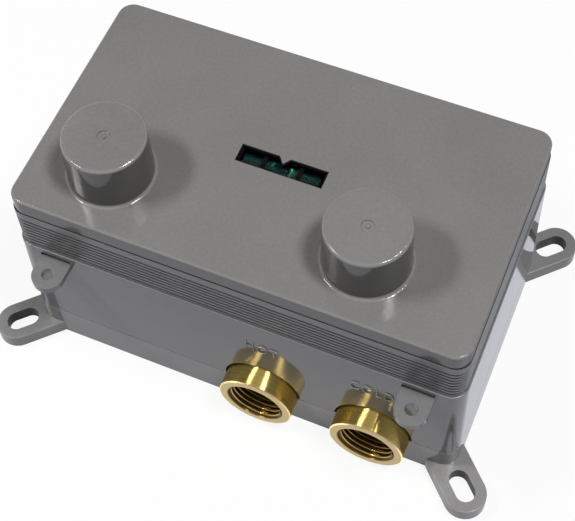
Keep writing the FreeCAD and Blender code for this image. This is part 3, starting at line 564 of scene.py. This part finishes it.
def lapped_ceramic():
    """Cream alumina with a lapped sheen."""
    material, paint = new_paint("lapped_ceramic")
    place = paint.place()
    grain = paint.noise(place, 5000.0, 2.0)
    clouds = paint.noise(place, 120.0, 2.0)
    body = paint.blend(clouds, (0.78, 0.75, 0.68), (0.85, 0.83, 0.78))
    paint.surface(Base_Color=body, Roughness=0.16 + 0.08 * grain, Normal=paint.bump(grain, 0.05, 0.01 * MM))
    return material


def plated_steel(name, colour, rough):
    """Bright steel or zinc with a mottled, slightly clouded skin."""
    material, paint = new_paint(name)
    place = paint.place()
    mottle = paint.noise(place, 700.0, 3.0)
    clouds = paint.noise(place, 110.0, 3.0)
    body = paint.blend(clouds, scaled(colour, 0.85), colour)
    paint.surface(Base_Color=body, Metallic=1.0, Roughness=rough + 0.14 * mottle,
                  Normal=paint.bump(mottle, 0.15, 0.03 * MM))
    return material


# Modelling steps that several pieces share

def start_piece():
    """Leaves object mode on and nothing selected before a new piece is begun."""
    if bpy.context.object and bpy.context.object.mode != "OBJECT":
        bpy.ops.object.mode_set(mode="OBJECT")
    bpy.ops.object.select_all(action="DESELECT")


def pick(piece, kind, test):
    """Selects the vertices, edges or faces that pass the test; the piece is in edit mode before and after."""
    bpy.ops.mesh.select_mode(type=kind)
    bpy.ops.mesh.select_all(action="DESELECT")
    bpy.ops.object.mode_set(mode="OBJECT")
    mesh = piece.data
    if kind == "VERT":
        for vertex in mesh.vertices:
            vertex.select = test(vertex.co)
    elif kind == "EDGE":
        for edge in mesh.edges:
            ends = [mesh.vertices[index].co for index in edge.vertices]
            edge.select = test(ends[0]) and test(ends[1])
    else:
        for face in mesh.polygons:
            face.select = test(face.center)
    bpy.ops.object.mode_set(mode="EDIT")


def apply_modifiers(piece):
    for modifier in list(piece.modifiers):
        bpy.ops.object.modifier_apply(modifier=modifier.name)


def clean_mesh():
    """Merges doubles and turns all faces outwards; in edit mode."""
    bpy.ops.mesh.select_all(action="SELECT")
    bpy.ops.mesh.remove_doubles(threshold=MERGE_DISTANCE)
    bpy.ops.mesh.normals_make_consistent(inside=False)


def close_ends():
    """Fills the open ends of what was wound; in object mode."""
    bpy.ops.object.mode_set(mode="EDIT")
    bpy.ops.mesh.select_all(action="SELECT")
    bpy.ops.mesh.fill_holes(sides=0)
    clean_mesh()
    bpy.ops.object.mode_set(mode="OBJECT")


def label(piece, name, material, angle):
    """Names a finished piece, puts its place into its mesh and gives it its finish."""
    bpy.ops.object.transform_apply(location=True, rotation=True, scale=True)
    bpy.ops.object.shade_smooth_by_angle(angle=math.radians(angle))
    piece.name = name
    piece.data.name = name
    piece.data.materials.clear()
    piece.data.materials.append(material)


def settle(piece, name, body, material, angle=35):
    """Labels a finished piece and ties it to what carries it."""
    label(piece, name, material, angle)
    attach(piece, body)


def thread_ridge(root_r, crest_r, pitch, turns, steps, start):
    """Helical ridge about the Z axis, standing from the root radius to the crest radius."""
    start_piece()
    middle = (root_r + crest_r) / 2
    bpy.ops.mesh.primitive_plane_add(size=1, location=(0, 0, 0))
    ridge = bpy.context.object
    bpy.ops.object.mode_set(mode="EDIT")
    bpy.ops.mesh.delete(type="ONLY_FACE")
    bpy.ops.mesh.select_all(action="SELECT")
    bpy.ops.transform.resize(value=(abs(root_r - crest_r), RIDGE_BASE * pitch, 1))
    inward = -1 if crest_r < root_r else 1
    pick(ridge, "VERT", lambda co: co.x * inward > 0)
    bpy.ops.transform.resize(value=(1, RIDGE_CREST, 1))
    bpy.ops.mesh.bevel(offset=RIDGE_ROUNDING * pitch, segments=2, affect="VERTICES")
    bpy.ops.object.mode_set(mode="OBJECT")
    ridge.rotation_euler = (math.radians(90), 0, 0)
    ridge.location = (middle, 0, start)
    bpy.ops.object.transform_apply(location=True, rotation=True, scale=True)
    winding = ridge.modifiers.new("winding", "SCREW")
    winding.axis = "Z"
    winding.angle = math.radians(360)
    winding.screw_offset = pitch
    winding.iterations = turns
    winding.steps = steps
    winding.render_steps = steps
    apply_modifiers(ridge)
    close_ends()
    return ridge


def pipe_thread(node, name, material):
    """Female pipe thread on the wall of a socket's bore."""
    low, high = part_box(node)
    inlet = high.y < 0
    mouth = low.y if inlet else high.y
    axis = Vector(((low.x + high.x) / 2, mouth, (low.z + high.z) / 2))
    ridge = thread_ridge(THREAD_ROOT, THREAD_CREST, THREAD_PITCH, THREAD_TURNS, THREAD_STEPS, THREAD_START)
    ridge.rotation_euler = (math.radians(-90 if inlet else 90), 0, 0)
    ridge.location = axis
    settle(ridge, name, "case", material, angle=50)


def raised_word(text, centre_x, centre_z, material):
    """Thin raised letters moulded on the inlet wall."""
    start_piece()
    bpy.ops.object.text_add(location=(0, 0, 0))
    word = bpy.context.object
    word.data.body = text
    word.data.size = LETTER_SIZE
    word.data.align_x = "CENTER"
    word.data.align_y = "CENTER"
    word.data.space_character = LETTER_SPACING
    word.data.offset = -LETTER_THINNING
    word.data.extrude = LETTER_RISE / 2
    word.data.bevel_depth = LETTER_ROUNDING
    word.data.bevel_resolution = 2
    bpy.ops.object.convert(target="MESH")
    word.scale = (LETTER_NARROWING, 1, 1)
    bpy.ops.object.transform_apply(location=False, rotation=False, scale=True)
    bpy.ops.object.mode_set(mode="EDIT")
    clean_mesh()
    bpy.ops.object.mode_set(mode="OBJECT")
    spot, slope = nodes["case_frame"].ray_cast((centre_x, RAY_START, centre_z), (0, 1, 0))[1:3]
    tilt = math.asin(max(-1.0, min(1.0, slope.z)))
    word.rotation_euler = (math.radians(90) - tilt, 0, 0)
    word.location = spot + slope * LETTER_SEAT
    settle(word, "word_" + text.lower(), "case", material, angle=30)


def vial_ring(name, x, material):
    """Printed ring round the vial at one end of the bubble's travel."""
    low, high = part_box("level_vial")
    radius = (high.z - low.z) / 2
    start_piece()
    bpy.ops.mesh.primitive_cylinder_add(vertices=RING_SIDES, radius=radius + RING_LIFT, depth=RING_WIDTH,
                                        end_fill_type="NOTHING")
    ring = bpy.context.object
    shell = ring.modifiers.new("film", "SOLIDIFY")
    shell.thickness = RING_FILM
    shell.offset = 1
    edge = ring.modifiers.new("edge", "BEVEL")
    edge.width = RING_EDGE
    edge.segments = 2
    apply_modifiers(ring)
    ring.rotation_euler = (0, math.radians(90), 0)
    ring.location = (x, (low.y + high.y) / 2, (low.z + high.z) / 2)
    settle(ring, name, "cover", material)


def cross_screw(head_r, head_height, shank_r, shank_length):
    """Pan-head screw with a cross recess and a coarse thread: its seat at z = 0, its shank along -Z."""
    start_piece()
    core_r = SCREW_CORE * shank_r
    point = SCREW_POINT * shank_length
    bpy.ops.mesh.primitive_cylinder_add(vertices=SCREW_SIDES, radius=head_r, depth=head_height,
                                        location=(0, 0, head_height / 2))
    screw = bpy.context.object
    bpy.ops.object.transform_apply(location=True, rotation=False, scale=False)
    bpy.ops.object.mode_set(mode="EDIT")
    pick(screw, "EDGE", lambda co: co.z > head_height / 2)
    bpy.ops.mesh.bevel(offset=HEAD_ROUNDING * head_height, segments=5, profile=HEAD_PROFILE)
    pick(screw, "FACE", lambda co: co.z < SEAT_HEIGHT)
    bpy.ops.mesh.inset(thickness=head_r - core_r)
    bpy.ops.mesh.extrude_region_move(TRANSFORM_OT_translate={"value": (0, 0, point - shank_length)})
    bpy.ops.mesh.extrude_region_move(TRANSFORM_OT_translate={"value": (0, 0, -point)})
    bpy.ops.transform.resize(value=(TIP_TAPER, TIP_TAPER, 1))
    bpy.ops.object.mode_set(mode="OBJECT")
    cutter = cross_cutter(head_r, head_height)
    start_piece()
    bpy.context.view_layer.objects.active = screw
    screw.select_set(True)
    recess = screw.modifiers.new("recess", "BOOLEAN")
    recess.object = cutter
    recess.operation = "DIFFERENCE"
    apply_modifiers(screw)
    bpy.data.objects.remove(cutter)
    pitch = SCREW_PITCH * shank_r
    turns = int(SCREW_THREADED * shank_length / pitch)
    foot = -SCREW_THREAD_FOOT * shank_length
    ridge = thread_ridge(RIDGE_SINK * core_r, shank_r, pitch, turns, SCREW_STEPS, foot)
    start_piece()
    ridge.select_set(True)
    screw.select_set(True)
    bpy.context.view_layer.objects.active = screw
    bpy.ops.object.join()
    return screw


def cross_cutter(head_r, head_height):
    """Tapered cross that cuts a screw head's recess."""
    start_piece()
    arms = []
    for turn in (0, 90):
        bpy.ops.mesh.primitive_cube_add(size=1, location=(0, 0, head_height))
        arm = bpy.context.object
        bpy.ops.object.mode_set(mode="EDIT")
        bpy.ops.mesh.select_all(action="SELECT")
        size = (RECESS_LENGTH * head_r, RECESS_WIDTH * head_r, RECESS_DEPTH * head_height)
        bpy.ops.transform.resize(value=size)
        pick(arm, "FACE", lambda co: co.z < -head_height / 2)
        bpy.ops.transform.resize(value=RECESS_TAPER)
        bpy.ops.object.mode_set(mode="OBJECT")
        arm.rotation_euler = (0, 0, math.radians(turn))
        bpy.ops.object.transform_apply(location=True, rotation=True, scale=True)
        arms.append(arm)
        bpy.ops.object.select_all(action="DESELECT")
    main, other = arms
    main.select_set(True)
    bpy.context.view_layer.objects.active = main
    union = main.modifiers.new("cross", "BOOLEAN")
    union.object = other
    union.operation = "UNION"
    apply_modifiers(main)
    bpy.data.objects.remove(other)
    return main


def loose_solids(node):
    """Boxes of the separate screws in one node, told apart by their places in plan."""
    groups = []
    for vertex in nodes[node].data.vertices:
        for group in groups:
            if (Vector(group[0][:2]) - Vector(vertex.co[:2])).length < SCREWS_APART:
                group.append(vertex.co.copy())
                break
        else:
            groups.append([vertex.co.copy()])
    boxes = []
    for group in groups:
        low = Vector(min(co[axis] for co in group) for axis in range(3))
        high = Vector(max(co[axis] for co in group) for axis in range(3))
        boxes.append((low, high))
    return boxes


def screw_set(node, name, head_height, shank_r, head_up, material):
    """All the screws of one node, one modelled and the others copied from it."""
    boxes = loose_solids(node)
    low, high = boxes[0]
    head_r = (high.x - low.x) / 2
    length = high.z - low.z - head_height
    pattern = cross_screw(head_r, head_height, shank_r, length)
    screws = []
    for number, (low, high) in enumerate(boxes):
        screw = pattern.copy()
        screw.data = pattern.data.copy()
        scene.collection.objects.link(screw)
        seat = high.z - head_height if head_up else low.z + head_height
        screw.location = ((low.x + high.x) / 2, (low.y + high.y) / 2, seat)
        turn = math.radians(HEAD_TURN + HEAD_TURN_STEP * number)
        screw.rotation_euler = Euler((0 if head_up else math.pi, 0, turn))
        screws.append(screw)
    bpy.data.objects.remove(pattern)
    start_piece()
    for screw in screws:
        screw.select_set(True)
    bpy.context.view_layer.objects.active = screws[0]
    bpy.ops.object.transform_apply(location=True, rotation=True, scale=True)
    bpy.ops.object.join()
    settle(screws[0], name, "case", material)
    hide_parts(node)


def live_spring(node, wire_r, turns, along, material):
    """Round-wire coil that is pressed together between the two bodies at its ends."""
    low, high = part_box(node)
    middle = (low + high) / 2
    length = high[along] - low[along]
    mean_r = (high.x - low.x) / 2 - wire_r
    start_piece()
    bpy.ops.mesh.primitive_circle_add(vertices=WIRE_SIDES, radius=wire_r, location=(mean_r, 0, wire_r),
                                      rotation=(math.radians(90), 0, 0))
    coil = bpy.context.object
    bpy.ops.object.transform_apply(location=True, rotation=True, scale=True)
    winding = coil.modifiers.new("winding", "SCREW")
    winding.axis = "Z"
    winding.angle = math.radians(360) * turns
    winding.screw_offset = length - 2 * wire_r
    winding.steps = int(COIL_STEPS * turns)
    winding.render_steps = winding.steps
    apply_modifiers(coil)
    close_ends()
    foot = middle.copy()
    foot[along] = low[along]
    top = middle.copy()
    top[along] = high[along]
    coil.rotation_euler = (top - foot).to_track_quat("Z", "X").to_euler()
    coil.location = foot
    label(coil, node + "_coil", material, angle=60)
    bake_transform(coil)
    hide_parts(node)


# Light, floor and camera

def studio():
    """Pale surroundings with a bright patch overhead, and a faint cool fill that comes from above."""
    world = bpy.data.worlds.new("studio")
    scene.world = world
    world.use_nodes = True
    paint = Paint(world.node_tree)
    straight, mirrored, through = paint.ray_kinds()
    height = paint.split(paint.node("ShaderNodeTexCoord", output="Generated"))[2]
    ceiling = paint.node("ShaderNodeValToRGB", {"stops": CEILING}, {"Fac": height})
    fill = paint.node("ShaderNodeValToRGB", {"stops": FILL}, {"Fac": height})
    light = paint.blend(mirrored, fill, ceiling)
    seen = paint.blend(straight + through, light, (1.0, 1.0, 1.0))
    sky = paint.node("ShaderNodeBackground", inputs={"Color": seen, "Strength": 1.0})
    paint.node("ShaderNodeOutputWorld", inputs={"Surface": sky})


def floor():
    """Pale floor that shows white, with the object's soft shadow left on it."""
    start_piece()
    bpy.ops.mesh.primitive_plane_add(size=FLOOR_SIZE, location=(0, 0, -FLOOR_DROP))
    ground = bpy.context.object
    ground.name = "floor"
    material, paint = new_paint("pale_floor")
    straight, mirrored, through = paint.ray_kinds()
    seen = straight + mirrored + through
    glow = paint.blend(mirrored, (1.0, 1.0, 1.0), (0.85, 0.88, 0.98))
    white = paint.node("ShaderNodeEmission", inputs={"Color": glow, "Strength": 1.0})
    tone = paint.blend(seen, (0.42, 0.42, 0.44), (0.85, 0.85, 0.86))
    matt = paint.node("ShaderNodeBsdfDiffuse", inputs={"Color": tone})
    share = FLOOR_WHITE * seen - FLOOR_MIRROR_LOSS * mirrored
    mixed = paint.node("ShaderNodeMixShader", inputs={0: share, 1: matt, 2: white})
    paint.node("ShaderNodeOutputMaterial", inputs={"Surface": mixed})
    ground.data.materials.append(material)


def lamp(name, place, width, height, power, colour):
    """Oblong soft box that faces the middle of the cover."""
    data = bpy.data.lights.new(name, "AREA")
    data.shape = "RECTANGLE"
    data.size = width
    data.size_y = height
    data.energy = power
    data.color = colour
    box = bpy.data.objects.new(name, data)
    scene.collection.objects.link(box)
    box.location = place
    box.rotation_euler = (box.location - LAMP_AIM).to_track_quat("Z", "Y").to_euler()


def photo_camera():
    """Camera at the photograph's viewpoint, with its crop given by the shift."""
    data = bpy.data.cameras.new("camera")
    data.sensor_width = CAMERA_SENSOR
    data.lens = CAMERA_LENS
    data.shift_x, data.shift_y = CAMERA_SHIFT
    data.clip_start, data.clip_end = CAMERA_CLIP
    camera = bpy.data.objects.new("camera", data)
    scene.collection.objects.link(camera)
    right = Vector(CAMERA_RIGHT).normalized()
    back = Vector(CAMERA_BACK).normalized()
    up = back.cross(right).normalized()
    right = up.cross(back)
    turn = Matrix((right, up, back)).transposed()
    camera.matrix_world = Matrix.Translation(CAMERA_PLACE) @ turn.to_4x4()
    scene.camera = camera


# Finishes on the model's own pieces
case_grey = moulded_case("case_grey", (0.174, 0.174, 0.182), side_shade=0.94, sheen=0.04, dulled=0.25,
                         index=1.5, grained=COLLAR, side_grain=0.23, painted_shade=rim_shade)
# painted light: the tray's plastic is a lighter copy of the case's, for more light on the lower walls and
# lugs
tray_grey = moulded_case("tray_grey", (0.232, 0.230, 0.230), side_shade=1.0, sheen=0.08, dulled=0.22,
                         index=1.5, painted_shade=slot_shade)
cover_grey = moulded_case("cover_grey", (0.190, 0.188, 0.184), side_shade=0.66, sheen=0.06, dulled=0.08,
                          index=1.43, grained=COVER_WALL, painted_shade=foot_shade)
letter_grey = moulded_case("letter_grey", (0.22, 0.22, 0.23), side_shade=1.0, sheen=0.10, dulled=0.1,
                           index=1.5)
dress(case_grey, "case_frame")
dress(tray_grey, "rear_tray")
dress(cover_grey, "cover")
dress(black_holder(), "vial_holder")
dress(vial_wall(), "level_vial")
dress(vial_liquid(), "vial_liquid")
dress(seal_rubber(), "hot_inlet_seal", "cold_inlet_seal", "outlet_seal_left", "outlet_seal_right",
      "sleeve_o_rings", "regulator_spindle_seal", "diverter_spindle_seal", "diverter_gasket")
dress(white_acetal(), "regulator_sleeve", "regulator_spool", "diverter_housing", "hot_check_housing",
      "cold_check_housing", "hot_check_poppet", "cold_check_poppet")
dress(cast_brass(), "valve_body")
dress(spindle_metal("bonnet_brass", (0.62, 0.45, 0.19), ring_scale=2600.0),
      "regulator_bonnet", "diverter_bonnet", "adjuster_nut")
dress(spindle_metal("spindle_brass", (0.68, 0.50, 0.22), ring_scale=3400.0),
      "regulator_spindle", "diverter_spindle")
dress(spindle_metal("element_copper", (0.68, 0.33, 0.18), ring_scale=3000.0), "wax_element")
dress(lapped_ceramic(), "fixed_disc", "turning_disc")
dress(plated_steel("filter_steel", (0.55, 0.55, 0.55), rough=0.28), "hot_filter", "cold_filter")

# Sockets, each with its own turned finish and its thread
for socket in ("hot_inlet_socket", "cold_inlet_socket", "outlet_socket_left", "outlet_socket_right"):
    low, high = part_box(socket)
    axis_x = (low.x + high.x) / 2
    axis_z = (low.z + high.z) / 2
    mouth = max(-low.y, high.y)
    dress(turned_brass(socket + "_brass", axis_x, axis_z, BRASS), socket)
    pipe_thread(socket, socket + "_thread", cut_thread(socket + "_thread", axis_x, axis_z, mouth))

# Words over the inlets
for word_text, word_x, word_z in WORDS:
    raised_word(word_text, word_x, word_z, letter_grey)

# Rings on the vial
ring_black = vial_mark()
vial_ring("vial_ring_left", -RING_PLACE, ring_black)
vial_ring("vial_ring_right", RING_PLACE, ring_black)

# Screws
zinc = plated_steel("screw_zinc", (0.60, 0.60, 0.60), rough=0.24)
screw_set("body_screws", "body_screws_crossed", BODY_SCREW_HEAD, BODY_SCREW_R, True, zinc)
screw_set("frame_screws", "frame_screws_crossed", FRAME_SCREW_HEAD, FRAME_SCREW_R, False, zinc)

# Springs
spring_steel = plated_steel("spring_steel", (0.56, 0.56, 0.57), rough=0.22)
live_spring("return_spring", RETURN_WIRE_R, RETURN_TURNS, Z_AXIS, spring_steel)
for side in ("hot", "cold"):
    live_spring(side + "_check_spring", CHECK_WIRE_R, CHECK_TURNS, Y_AXIS, spring_steel)

# Surroundings
scene.view_settings.view_transform = "Standard"
studio()
floor()
lamp("key_left", (-0.578, -0.25, 0.924), width=0.26, height=0.14, power=5.4, colour=(1.0, 0.965, 0.92))
lamp("key_right", (0.70, -0.04, 1.85), width=0.36, height=0.36, power=24.0, colour=(1.0, 0.985, 0.965))
photo_camera()
